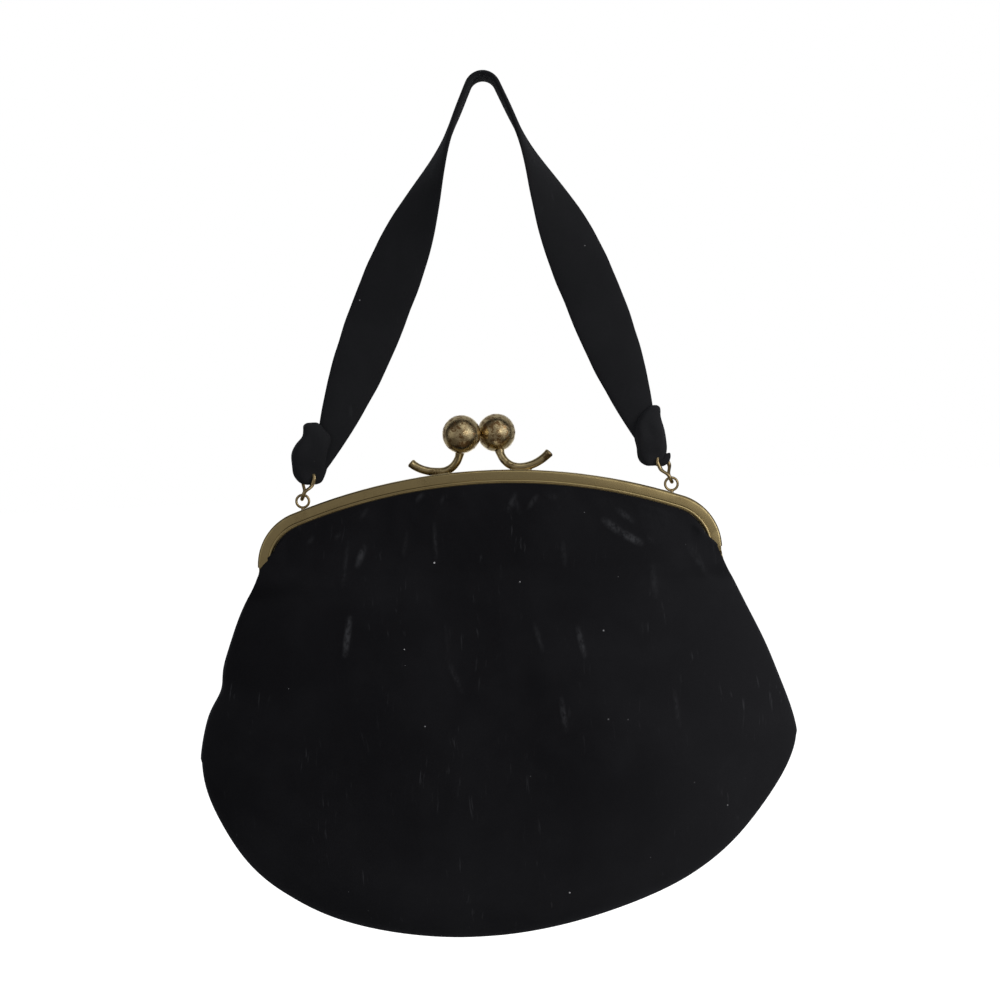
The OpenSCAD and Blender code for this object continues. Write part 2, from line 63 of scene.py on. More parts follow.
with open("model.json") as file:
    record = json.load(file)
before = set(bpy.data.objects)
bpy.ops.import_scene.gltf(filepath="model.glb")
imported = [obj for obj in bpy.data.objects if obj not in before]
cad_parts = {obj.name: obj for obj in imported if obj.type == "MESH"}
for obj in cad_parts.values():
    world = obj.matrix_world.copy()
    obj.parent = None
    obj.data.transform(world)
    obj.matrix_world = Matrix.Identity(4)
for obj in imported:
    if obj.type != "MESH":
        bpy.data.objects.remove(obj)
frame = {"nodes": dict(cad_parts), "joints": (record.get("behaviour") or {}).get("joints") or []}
CAD_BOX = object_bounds()

# Shapes are worked out in millimetres about the middle of the hinge axis, as the CAD source does
MM = 0.001
HINGE = Vector(next(j for j in frame["joints"] if j["name"] == "frame_hinge")["pos_m"])

# Frame: a wide arch between two round corners
HALF_W = 88.0
ARCH_R = 217.0
CORNER_R = 21.0
LEG_H = 5.2
RAIL_OUT = 4.65
FACE_H = 5.1
CORNER_X = HALF_W - CORNER_R
ARCH_ANGLE = math.asin(CORNER_X / (ARCH_R - CORNER_R))
ARCH_Z = LEG_H - (ARCH_R - CORNER_R) * math.cos(ARCH_ANGLE)
# Middle of the back rail, which the eyelets, links and strap stand over
BACK_Y = 2.4

# Bag
BAG_HALF = 113.0
FLARE = 25.0
WIDEST = 67.0
DROP = 138.5
FRONT_SWELL = 24.0
BACK_SWELL = 32.0
NECK_SWELL = 10.0
SEAM_Y = 0.02
BAG_LEAN = 9.6
FOOT_LEAN = 2.0
CLOTH_OUT = 3.8
LIP = FACE_H + 0.75
LINING_IN = 2.1
LINING_HINGE_X = 80.9
VELVET_THICK = 0.8
LINING_THICK = 0.4
VELVET_GRID = (220, 180)
LINING_GRID = (64, 60)
# Share of a panel's edge that lies along the arch, and where the panel ends in the corner
ARCH_SHARE = 0.77
PANEL_END = math.radians(80)
# How far down its height a panel leaves the channel, passes the hinge axis and is widest
CHANNEL_V, HINGE_V, WIDEST_V = 0.035, 0.22, 0.58
# Beside the hinges the velvet puffs out over the face of the rail, a little more on the left
COVER_FROM, COVER_RUN = 0.84, 0.14
COVER_REACH = {-1: 3.9, 1: 3.1}


def mix(a, b, t):
    return a + (b - a) * t


def smooth(t):
    t = min(1.0, max(0.0, t))
    return t * t * (3 - 2 * t)


def bump(t, middle, width):
    """Soft hill of height 1 round middle."""
    return math.exp(-(((t - middle) / width) ** 2))


def wander(x, y, z=0.0):
    """Smooth noise from about -1 to 1."""
    return noise.noise(Vector((x, y, z))) * 1.6


# Pieces

# From millimetres about the hinge to metres in the row frame
TO_ROW = Matrix.Translation(HINGE) @ Matrix.Scale(MM, 4)


def finish_piece(bm, name, material, in_row=False):
    """Turns a bmesh, about the hinge axis or in the row frame already, into a smooth object."""
    if not in_row:
        bmesh.ops.transform(bm, matrix=TO_ROW, verts=bm.verts)
    mesh = bpy.data.meshes.new(name)
    for face in bm.faces:
        face.smooth = True
    bm.to_mesh(mesh)
    bm.free()
    mesh.materials.append(material)
    piece = bpy.data.objects.new(name, mesh)
    bpy.context.scene.collection.objects.link(piece)
    return piece


def subdivided(piece):
    """The piece itself, smoothed by one subdivision."""
    modifier = piece.modifiers.new("smooth", "SUBSURF")
    modifier.levels = modifier.render_levels = 1
    return piece


def thickened(piece, thickness):
    """Gives a sheet its thickness, inwards."""
    modifier = piece.modifiers.new("cloth thickness", "SOLIDIFY")
    modifier.thickness = thickness * MM
    modifier.offset = -1.0


def repaint(nodes, material):
    """Gives CAD nodes a material and smooth curved faces."""
    for name in nodes:
        node = frame["nodes"][name]
        node.data.materials.clear()
        node.data.materials.append(material)
        node.data.polygons.foreach_set("use_smooth", [True] * len(node.data.polygons))
        weld = node.modifiers.new("join faces", "WELD")
        weld.merge_threshold = 0.000002
        edges = node.modifiers.new("keep edges", "EDGE_SPLIT")
        edges.split_angle = math.radians(28)


# Shader groups and materials

FLOAT, COLOR, VECTOR = "NodeSocketFloat", "NodeSocketColor", "NodeSocketVector"


class Nodes:
    """Short way to place and join shader nodes."""

    def __init__(self, tree):
        self.tree = tree
        self.count = 0

    def join(self, output, given):
        self.tree.links.new(output, given)

    def add(self, kind, inputs=None, **settings):
        """New node; each of inputs is a value, or the output that it is joined to."""
        node = self.tree.nodes.new(kind)
        node.location = (180 * (self.count % 8), -220 * (self.count // 8))
        self.count += 1
        for key, value in settings.items():
            setattr(node, key, value)
        for key, value in (inputs or {}).items():
            if isinstance(value, bpy.types.NodeSocket):
                self.join(value, node.inputs[key])
            else:
                node.inputs[key].default_value = value
        return node

    def math(self, operation, a, b=0.0, clamp=False):
        made = self.add("ShaderNodeMath", {0: a, 1: b}, operation=operation, use_clamp=clamp)
        return made.outputs[0]

    def vector(self, operation, inputs):
        return self.add("ShaderNodeVectorMath", inputs, operation=operation)

    def ramp(self, value, low, high, out_low=0.0, out_high=1.0):
        """Smooth step from out_low to out_high as value goes from low to high."""
        inputs = {
            "Value": value,
            "From Min": low,
            "From Max": high,
            "To Min": out_low,
            "To Max": out_high,
        }
        return self.add("ShaderNodeMapRange", inputs, interpolation_type="SMOOTHSTEP").outputs[0]

    def noise(self, vector, scale, detail=2.0, roughness=0.5, distortion=0.0):
        inputs = {
            "Vector": vector,
            "Scale": scale,
            "Detail": detail,
            "Roughness": roughness,
            "Distortion": distortion,
        }
        return self.add("ShaderNodeTexNoise", inputs).outputs["Fac"]

    def streaks(self, vector, scale, detail=2.0, roughness=0.5):
        """Noise with its own scale along each axis."""
        drawn = self.add("ShaderNodeMapping", {"Vector": vector, "Scale": scale}).outputs[0]
        return self.noise(drawn, 1.0, detail, roughness)

    def blend(self, factor, a, b):
        return self.add("ShaderNodeMix", {0: factor, 6: a, 7: b}, data_type="RGBA").outputs[2]

    def bump(self, height, strength, distance):
        inputs = {"Height": height, "Strength": strength, "Distance": distance}
        return self.add("ShaderNodeBump", inputs).outputs[0]

    def object_place(self):
        return self.add("ShaderNodeTexCoord").outputs["Object"]

    def sees_white(self):
        """1 for the rays that meet a plain white floor and background: all but diffuse ones."""
        path = self.add("ShaderNodeLightPath").outputs
        direct = self.math("ADD", path["Is Camera Ray"], path["Is Glossy Ray"])
        return self.math("ADD", direct, path["Is Transmission Ray"], clamp=True)


def group(name, inputs, outputs):
    """New node group with named sockets, and its input and output nodes."""
    tree = bpy.data.node_groups.new(name, "ShaderNodeTree")
    for key, (kind, value) in inputs.items():
        made = tree.interface.new_socket(name=key, in_out="INPUT", socket_type=kind)
        if value is not None:
            made.default_value = value
    for key, kind in outputs.items():
        tree.interface.new_socket(name=key, in_out="OUTPUT", socket_type=kind)
    nodes = Nodes(tree)
    return nodes, nodes.add("NodeGroupInput").outputs, nodes.add("NodeGroupOutput").inputs


def tarnish_and_painted_reflection_group():
    """Brown patches and fine scratches of old plated brass. On the clasp, where they are many and
    dark, the patches also stand for painted reflections of the black velvet.
    """
    name = "old brass"
    if name in bpy.data.node_groups:
        return bpy.data.node_groups[name]
    inputs = {
        "Vector": (VECTOR, None),
        "Clean": (COLOR, (0.5, 0.42, 0.24, 1)),
        "Dark": (COLOR, (0.16, 0.11, 0.05, 1)),
        "Amount": (FLOAT, 0.5),
        "Scale": (FLOAT, 300.0),
        "Base Roughness": (FLOAT, 0.22),
    }
    n, given, out = group(name, inputs, {"Color": COLOR, "Roughness": FLOAT, "Height": FLOAT})
    where, scale = given["Vector"], given["Scale"]
    patches = n.noise(where, scale, detail=5.0, roughness=0.62, distortion=0.6)
    fine = n.noise(where, n.math("MULTIPLY", scale, 5.5), detail=4.0, roughness=0.6)
    both = n.math("ADD", n.math("MULTIPLY", patches, 0.88), n.math("MULTIPLY", fine, 0.12))
    mask = n.math("MULTIPLY", n.ramp(both, 0.46, 0.66), given["Amount"], clamp=True)
    scratches = n.streaks(where, (9000, 260, 900), detail=3.0, roughness=0.7)
    n.join(n.blend(mask, given["Clean"], given["Dark"]), out["Color"])
    rough = n.math("ADD", given["Base Roughness"], n.math("MULTIPLY", mask, 0.28))
    scratched = n.math("MULTIPLY", n.ramp(scratches, 0.55, 0.75), 0.08)
    n.join(n.math("ADD", rough, scratched), out["Roughness"])
    cut = n.math("MULTIPLY", n.ramp(scratches, 0.6, 0.8), 0.5)
    n.join(n.math("SUBTRACT", n.math("MULTIPLY", fine, 0.5), cut), out["Height"])
    return n.tree


def nap_group():
    """Velvet pile: its fine grain, crushed streaks, creases of crushed pile with painted sheen,
    painted light and lint.
    """
    name = "velvet pile"
    if name in bpy.data.node_groups:
        return bpy.data.node_groups[name]
    inputs = {
        "Vector": (VECTOR, None),
        "Pile": (COLOR, (0.008, 0.008, 0.010, 1)),
        "Crushed And Lit": (COLOR, (0.03, 0.03, 0.036, 1)),
        "Streaks": (FLOAT, 1.0),
        "Lint": (FLOAT, 1.0),
        "Crease": (FLOAT, 0.0),
        "Painted Light": (FLOAT, 0.0),
    }
    n, given, out = group(name, inputs, {"Color": COLOR, "Roughness": FLOAT, "Height": FLOAT})
    where = given["Vector"]
    # Short upright streaks: narrow noise across, long noise down, bent a little, kept in patches
    swirl = n.add("ShaderNodeTexNoise", {"Vector": where, "Scale": 45.0, "Detail": 1.0})
    aside = n.vector("SCALE", {0: swirl.outputs["Color"], "Scale": 0.006}).outputs[0]
    bent = n.vector("ADD", {0: where, 1: aside}).outputs[0]
    streak = n.ramp(n.streaks(bent, (900, 300, 95)), 0.62, 0.78)
    streak = n.math("MULTIPLY", streak, n.ramp(n.streaks(where, (60, 40, 40)), 0.48, 0.62))
    # Creases, crushed pile with painted sheen along them, are broken up, because the pile is
    # crushed unevenly along them
    broken = n.ramp(n.streaks(where, (800, 600, 480), detail=3.0, roughness=0.65), 0.28, 0.62)
    crease = n.math("MULTIPLY", n.ramp(given["Crease"], 0.1, 1.0, 0.0, 0.85), broken)
    streak = n.math("MAXIMUM", n.math("MULTIPLY", streak, 0.42), crease)
    streak = n.math("MULTIPLY", streak, given["Streaks"], clamp=True)
    cloud = n.noise(where, 28.0, detail=3.0, roughness=0.6)
    grain = n.noise(where, 5200.0, detail=2.0, roughness=0.7)
    lift = n.math("ADD", n.ramp(cloud, 0.35, 0.75, 0.0, 0.07), n.ramp(grain, 0.3, 0.8, 0.0, 0.10))
    # Painted light, paler towards the right and the bottom
    lift = n.math("ADD", lift, given["Painted Light"])
    lift = n.math("ADD", lift, streak, clamp=True)
    colour = n.blend(lift, given["Pile"], given["Crushed And Lit"])
    # Lint: a few cells of a sparse pattern hold a speck
    cells = n.add("ShaderNodeTexVoronoi", {"Vector": where, "Scale": 160.0}).outputs
    pick = n.add("ShaderNodeSeparateColor", {"Color": cells["Color"]}).outputs
    size = n.ramp(pick[1], 0.0, 1.0, 0.02, 0.052)
    speck = n.math("LESS_THAN", cells["Distance"], size)
    speck = n.math("MULTIPLY", speck, n.math("GREATER_THAN", pick[0], 0.70))
    speck = n.math("MULTIPLY", speck, given["Lint"], clamp=True)
    speck = n.math("MULTIPLY", speck, pick[2])
    n.join(n.blend(speck, colour, (0.42, 0.42, 0.44, 1)), out["Color"])
    n.join(n.math("SUBTRACT", 0.92, n.math("MULTIPLY", streak, 0.25)), out["Roughness"])
    height = n.math("ADD", n.math("MULTIPLY", grain, 0.35), n.math("MULTIPLY", cloud, 0.4))
    n.join(n.math("SUBTRACT", height, n.math("MULTIPLY", streak, 0.8)), out["Height"])
    return n.tree


def empty_material(name):
    """New material with only its output, which takes the surface at input 0."""
    material = bpy.data.materials.new(name)
    material.use_nodes = True
    material.node_tree.nodes.clear()
    nodes = Nodes(material.node_tree)
    return material, nodes, nodes.add("ShaderNodeOutputMaterial").inputs[0]


def new_material(name, colour):
    """New material with a Principled shader, whose inputs are returned."""
    material, nodes, surface = empty_material(name)
    material.diffuse_color = (*colour, 1)
    shader = nodes.add("ShaderNodeBsdfPrincipled")
    nodes.join(shader.outputs[0], surface)
    return material, nodes, shader.inputs


BRASS_DARK = (0.16, 0.11, 0.05)
# Clean and dark colour, amount of dark, roughness, scale of its patches, grain height in metres
BRASSES = {
    "aged brass frame": ((0.45, 0.37, 0.20), BRASS_DARK, 0.35, 0.19, 70.0, 0.0000015),
    # On the clasp the dark patches are partly tarnish and partly painted reflections of the black
    # velvet
    "aged brass clasp with painted reflections": ((0.58, 0.48, 0.28), (0.11, 0.07, 0.03), 1.3, 0.11, 240.0, 0.00002),
    "spotted brass balls": ((0.68, 0.57, 0.36), (0.20, 0.12, 0.055), 1.7, 0.09, 460.0, 0.0004),
    "worn brass links": ((0.46, 0.37, 0.21), (0.15, 0.09, 0.045), 0.6, 0.20, 260.0, 0.00001),
}


def brass(name):
    """Brass of one of the kinds above, made once."""
    if name in bpy.data.materials:
        return bpy.data.materials[name]
    clean, dark, amount, roughness, scale, height = BRASSES[name]
    material, n, shader = new_material(name, clean)
    inputs = {
        "Vector": n.object_place(),
        "Clean": (*clean, 1),
        "Dark": (*dark, 1),
        "Amount": amount,
        "Scale": scale,
        "Base Roughness": roughness,
    }
    old = n.add("ShaderNodeGroup", inputs, node_tree=tarnish_and_painted_reflection_group()).outputs
    n.join(old["Color"], shader["Base Color"])
    n.join(old["Roughness"], shader["Roughness"])
    n.join(n.bump(old["Height"], 0.25, height), shader["Normal"])
    shader["Metallic"].default_value = 1.0
    return material


BAG_PILE = (0.0038, 0.0037, 0.0046)
# Painted sheen: the strap's pile, and its folded ends' pile more so, are paler copies of the bag's
STRAP_PILE = (0.0072, 0.0074, 0.0084)
END_PILE = (0.0088, 0.0090, 0.0102)
# Paler pile, for crushed streaks and for painted light and painted sheen
CRUSHED_AND_LIT_PILE = (0.034, 0.035, 0.039)


def velvet(name, pile, streaks, lint):
    """Velvet, whose creases and painted highlights on the pleats come from the mesh's own
    attribute.
    """
    material, n, shader = new_material(name, pile)
    where = n.object_place()
    # Painted light: the pile is paler towards the right and the bottom
    parts = n.add("ShaderNodeSeparateXYZ", {0: where}).outputs
    right = n.ramp(parts["X"], 0.0, 0.105, 0.0, 0.17)
    low = n.ramp(parts["Z"], -0.32, -0.255, 0.07, 0.0)
    inputs = {
        "Vector": where,
        "Pile": (*pile, 1),
        "Crushed And Lit": (*CRUSHED_AND_LIT_PILE, 1),
        "Streaks": streaks,
        "Lint": lint,
        "Crease": n.add("ShaderNodeAttribute", attribute_name="crushed_and_sheen").outputs["Fac"],
        "Painted Light": n.math("ADD", right, low),
    }
    nap = n.add("ShaderNodeGroup", inputs, node_tree=nap_group()).outputs
    n.join(nap["Color"], shader["Base Color"])
    n.join(nap["Roughness"], shader["Roughness"])
    n.join(n.bump(nap["Height"], 0.5, 0.0004), shader["Normal"])
    shader["Specular IOR Level"].default_value = 0.03
    shader["Sheen Weight"].default_value = 0.035
    shader["Sheen Roughness"].default_value = 0.35
    shader["Sheen Tint"].default_value = (0.72, 0.78, 0.95, 1)
    return material


def woven(name, colour, roughness, thread, strength, sheen):
    """Satin or twisted paper: a colour with fine crossing threads."""
    material, n, shader = new_material(name, colour)
    where = n.object_place()
    across = n.streaks(where, (thread * 6, thread, thread))
    down = n.streaks(where, (thread, thread, thread * 6))
    weave = n.math("ADD", across, down)
    dark = (*[c * 0.7 for c in colour], 1)
    light = (*[min(1, c * 1.35) for c in colour], 1)
    n.join(n.blend(n.ramp(weave, 0.7, 1.3), dark, light), shader["Base Color"])
    n.join(n.bump(weave, strength, 0.0002), shader["Normal"])
    shader["Roughness"].default_value = roughness
    shader["Sheen Weight"].default_value = sheen
    return material


# Bag


def outline(s, d):
    """Point along the frame at s from -1 to 1, in by the depth d, as (x, z)."""
    k, side = abs(s), math.copysign(1.0, s)
    if k <= ARCH_SHARE:
        a = ARCH_ANGLE * k / ARCH_SHARE
        return side * (ARCH_R - d) * math.sin(a), ARCH_Z + (ARCH_R - d) * math.cos(a)
    a = mix(ARCH_ANGLE, PANEL_END, (k - ARCH_SHARE) / (1 - ARCH_SHARE))
    reach = CORNER_R - d
    return side * (CORNER_X + reach * math.sin(a)), LEG_H + reach * math.cos(a)


def pillow(u):
    """How full the bag is at u across it, from 1 in the middle to 0 at its seams."""
    return max(0.0, 1 - abs(u) ** 2.6) ** 0.62


def half_width(z, side):
    """Half width of the bag from the hinge axis to its widest, a little different on each side."""
    w = BAG_HALF - FLARE * (1 + z / WIDEST) ** 1.38
    if side < 0:
        return w + 1.0 * bump(z, -12, 12) - 2.2 * bump(z, -41, 6.5)
    return w - 0.8 * bump(z, -18, 16) - 0.6 * bump(z, -45, 12)


def panel_point(u, v, swell, inset):
    """Point on a sheet of the bag.

    u runs from its left edge (-1) to its right one (1), v from the channel (0) to the bottom (1).
    """
    side = -1 if u < 0 else 1
    lining = inset > 0
    if v < CHANNEL_V:
        x, z = outline(u, mix(1.0, LIP, v / CHANNEL_V))
        return x, CLOTH_OUT - inset, z
    hinge_x = u * (LINING_HINGE_X if lining else half_width(0, side))
    edge = (CLOTH_OUT + 0.4 if lining else RAIL_OUT + 1.4) - inset
    hinge_y = edge + (NECK_SWELL - inset - edge) * pillow(u)
    if v < HINGE_V:
        t = (v - CHANNEL_V) / (HINGE_V - CHANNEL_V)
        cover = 0.0 if lining else min(1.0, max(0.0, (abs(u) - COVER_FROM) / COVER_RUN))
        x, z = outline(u, LIP - COVER_REACH[side] * cover * smooth((t - 0.05) / 0.4))
        cover = smooth(cover / 0.6)
        x = mix(x, hinge_x, mix(t * t, t, cover))
        plain = mix(CLOTH_OUT - inset, hinge_y, smooth(t))
        puff = mix(CLOTH_OUT, RAIL_OUT + 1.9, smooth(t / 0.12))
        puff = mix(puff, hinge_y, smooth((t - 0.6) / 0.4))
        return x, mix(plain, puff, cover), mix(z, 0, t)
    if v < WIDEST_V:
        t = (v - HINGE_V) / (WIDEST_V - HINGE_V)
        z = -WIDEST * t
        w = half_width(z, side) - inset
        if lining:
            # Clear of the velvet that folds beside the hinges
            w -= 6.6 * bump(z, -5, 11)
        depth = swell - (swell - NECK_SWELL) * (1 - t) ** 1.6 - inset
        seam = mix(edge, SEAM_Y, smooth(t / 0.12))
        return u * w, seam + (depth - seam) * pillow(u), z
    a = math.radians(90) * min(1.0, (v - WIDEST_V) / (1 - WIDEST_V)) ** 0.95
    depth = (swell - inset) * max(0.0, math.cos(a)) ** 0.7
    flat = 1 - 0.027 * bump(math.sin(a), 0.4, 0.27)
    w = (BAG_HALF - inset) * max(math.cos(a), 0.02) * flat
    z = -WIDEST - (DROP - WIDEST - inset) * math.sin(a)
    return u * w, SEAM_Y + max(0.0, depth - SEAM_Y) * pillow(u), z


def lean(z):
    """How far the hanging bag has swung to the left at the height z."""
    t = max(0.0, -z - WIDEST) / (DROP - WIDEST)
    eased = t - 0.04 * (1 - math.exp(-t / 0.04))
    return BAG_LEAN * eased + FOOT_LEAN * smooth((t - 0.72) / 0.22)


def gathers(u, x, below):
    """Depth of the pleats that the frame gathers, falling away below it and beside the hinges."""
    fade = math.exp(-below / 13.0) * smooth(below / 3.0) * (1 - smooth((abs(u) - 0.9) / 0.08))
    phase = x / 3.1 + 2.2 * wander(x / 17.0, 3.1, below / 26.0)
    lift = 0.5 + 0.5 * math.sin(phase)
    return fade * (0.25 + 0.75 * smooth(0.5 + wander(x / 24.0, 9.7))) * lift * lift


def slack(x, z, below, seed):
    """Soft hollows and long folds of the hanging cloth."""
    hang = 1.1 * wander(x / 38.0 + seed, z / 60.0)
    fold = 0.9 * max(0.0, wander(x / 15.0 + seed, z / 80.0, 2.0) - 0.2)
    pucker = 0.35 * wander((x + 0.7 * z) / 6.0, (z - 0.4 * x) / 19.0, seed)
    pucker *= math.exp(-below / 22.0)
    return (hang - fold) * smooth(below / 45.0) + pucker * smooth(below / 5.0)


# Creases where the pile of the front is crushed and painted paler as a painted sheen: ends as x
# and z, width, how plain
CREASES = (
    (43.6, 16.9, 50.0, 11.9, 1.5, 0.8), (50.0, 11.9, 56.9, 7.8, 1.3, 1.0),
    (48.6, 21.0, 54.4, 15.9, 1.3, 0.6), (7.8, 22.3, 10.6, 28.4, 1.3, 0.55),
    (15.2, 22.7, 18.9, 27.5, 1.2, 0.5), (10.0, 27.6, 12.1, 21.0, 1.2, 0.4),
    (22.3, 28.2, 26.4, 25.8, 1.4, 0.4), (59.5, 10.0, 61.8, 7.3, 1.2, 0.4),
    (75.0, 6.0, 82.2, -6.0, 1.6, 0.45), (61.0, -1.0, 61.5, -12.5, 1.7, 0.45),
    (27.6, 9.7, 27.9, 0.6, 1.2, 0.45), (31.5, -22.5, 33.6, -33.0, 1.0, 0.8),
    (15.5, -19.8, 18.2, -30.3, 1.1, 0.5), (24.0, -47.8, 25.3, -59.8, 1.0, 0.7),
    (66.2, -47.0, 67.4, -60.5, 1.0, 0.5), (-68.5, 13.0, -66.2, 15.8, 1.2, 0.4),
    (-57.8, 14.5, -56.2, 17.0, 1.2, 0.4), (-55.7, -3.0, -53.2, 13.0, 1.0, 0.45),
    (-50.0, 4.3, -47.2, 11.0, 1.3, 0.75), (-55.6, -28.5, -53.5, -15.0, 1.1, 0.95),
    (-20.4, 19.5, -20.2, 5.0, 0.9, 0.5), (-32.5, 6.8, -30.8, 15.9, 1.1, 0.4),
    (-27.0, 27.0, -23.8, 30.8, 1.2, 0.5), (-17.5, 26.0, -16.4, 29.4, 1.1, 0.4),
    (-18.0, -16.5, -17.2, -32.5, 1.0, 0.3), (-17.2, -32.5, -12.8, -43.8, 1.0, 0.5),
    (-48.2, 22.0, -45.4, 25.4, 1.2, 0.4),
)


def crease_at(x, z):
    """Height of the strongest crease at a point of the front, from 0 to 1."""
    best = 0.0
    for x0, z0, x1, z1, width, plain in CREASES:
        along = Vector((x1 - x0, z1 - z0))
        off = Vector((x - x0, z - z0))
        t = min(1.0, max(0.0, off.dot(along) / along.length_squared))
        gap = (off - along * t).length / width
        if gap < 2.5:
            taper = 0.45 + 0.55 * math.sin(math.pi * (0.1 + 0.8 * t))
            best = max(best, plain * math.exp(-gap * gap) * taper)
    return best


def bag_panel(name, front, inset, grid, material, gather_depth=0.0):
    """Front or back sheet of the bag. The velvet, at inset 0, is pleated, slack and creased."""
    bm = bmesh.new()
    bmesh.ops.create_grid(bm, x_segments=grid[0], y_segments=grid[1], size=1.0)
    crushed_and_sheen = bm.verts.layers.float.new("crushed_and_sheen")
    swell, seed = (FRONT_SWELL, 11.0) if front else (BACK_SWELL, 47.0)
    for vert in bm.verts:
        u, v = vert.co.x, (1 - vert.co.y) / 2
        x, y, z = panel_point(u, v, swell, inset)
        if v > CHANNEL_V and inset == 0:
            below = outline(u, LIP)[1] - z
            pleat = gather_depth / MM * gathers(u, x, below)
            y += pleat + slack(x, z, below, seed) * pillow(u)
            # Painted highlight: the pleats' crests are paler, more so towards the right
            vert[crushed_and_sheen] = mix(0.10, 0.24, smooth(x / 60)) * smooth(pleat / 0.5)
            if front:
                # Along the creases the pile is crushed and painted paler as a painted sheen
                crease = crease_at(x - lean(z), z)
                y += 0.5 * crease
                vert[crushed_and_sheen] = max(vert[crushed_and_sheen], crease)
        vert.co = Vector((x - lean(z), -y if front else y, z))
    if front:
        bmesh.ops.reverse_faces(bm, faces=bm.faces)
    return finish_piece(bm, name, material)


# Strap: a ribbon that runs from the left link over an arch to the right one

STRAP_ARCH = Vector((5.5, 0, 181.4043))
ARCH_BEND = 6.0
STRAP_W, STRAP_T = 22.0, 2.6
GATHER_W, GATHER_T = 3.2, 3.4
WRAP_R = 2.55
WRAP_STEPS, LEG_STEPS, ARCH_STEPS = 16, 70, 20
STRAP_TWIST = math.radians(90)
WIRE_TOP = {side: Vector((side * 66.4168, 0, 40.2606)) for side in (-1, 1)}
LEG_ANGLE = {-1: math.radians(-23.9062), 1: math.radians(200.156)}
LEG_BOW = {-1: 0.5, 1: 2.5}

# The folded ends, from the bottom up: middle x, height, half width and half depth
STRAP_ENDS = {
    "left": (
        (-66.6, 35.5, 1.6, 0.6), (-66.7, 36.1, 3.6, 1.3), (-66.8, 37.6, 5.0, 1.7),
        (-66.9, 40.2, 6.4, 2.0), (-67.0, 43.0, 6.9, 3.0), (-66.9, 45.5, 7.1, 3.9),
        (-66.2, 48.5, 7.1, 4.4), (-64.9, 51.5, 6.7, 4.5), (-63.9, 54.0, 5.4, 4.3),
        (-64.6, 56.2, 4.2, 3.8), (-65.3, 58.2, 3.3, 2.9), (-65.3, 59.2, 1.8, 1.5),
    ),
    "right": (
        (63.4, 36.6, 1.6, 0.6), (63.8, 37.2, 3.3, 1.3), (63.7, 38.6, 4.7, 1.7),
        (63.5, 41.0, 5.6, 2.2), (63.3, 44.0, 5.8, 3.2), (63.0, 47.0, 5.9, 4.1),
        (62.8, 50.0, 5.6, 4.4), (62.7, 53.0, 5.0, 4.3), (63.2, 55.6, 4.1, 4.0),
        (64.3, 57.6, 3.1, 3.3), (65.0, 59.0, 2.1, 2.2), (65.0, 59.7, 0.9, 0.9),
    ),
}


def turn(a):
    """Unit vector at the angle a in the plane of the front."""
    return Vector((math.cos(a), 0, math.sin(a)))


def tube(name, rings, sides, material, square=1.0, ripple=None):
    """Closed skin over rings, each given by its middle and its two half axes.

    square under 1 fills the ring's corners. ripple(share along, angle, middle) moves a point out.
    """
    bm = bmesh.new()
    last = len(rings) - 1
    bmesh.ops.create_grid(bm, x_segments=sides, y_segments=last, size=1.0)
    for vert in bm.verts:
        i, a = round((vert.co.y + 1) / 2 * last), math.pi * (vert.co.x + 1)
        middle, wide, deep = rings[i]
        c = math.copysign(abs(math.cos(a)) ** square, math.cos(a))
        d = math.copysign(abs(math.sin(a)) ** square, math.sin(a))
        vert.co = middle + wide * c + deep * d
        if ripple:
            vert.co += ripple(i / last, a, middle) * (wide * c + deep * d).normalized()
    bmesh.ops.remove_doubles(bm, verts=bm.verts, dist=0.002)
    bmesh.ops.holes_fill(bm, edges=[e for e in bm.edges if e.is_boundary], sides=0)
    bmesh.ops.recalc_face_normals(bm, faces=bm.faces)
    return finish_piece(bm, name, material)


def leg_place(side, t):
    """Middle of a leg at t from the link (0) to the arch (1)."""
    out = turn(LEG_ANGLE[side])
    low = WIRE_TOP[side] + WRAP_R * out
    high = STRAP_ARCH - ARCH_BEND * out
    return low.lerp(high, t) - LEG_BOW[side] * math.sin(math.pi * t) * out


def leg_station(side, t):
    """Middle, width, thickness and twist of a leg, which opens from its gather to a leaf."""
    opened = 1 - (1 - min(1, t / 0.4)) ** 2
    full = STRAP_T * (1 + 0.3 * (1 - smooth(t)))
    thick = mix(GATHER_T, full, smooth(t / 0.12))
    twist = STRAP_TWIST * smooth((t - 0.42) / 0.53)
    return leg_place(side, t), mix(GATHER_W, STRAP_W, opened), thick, twist


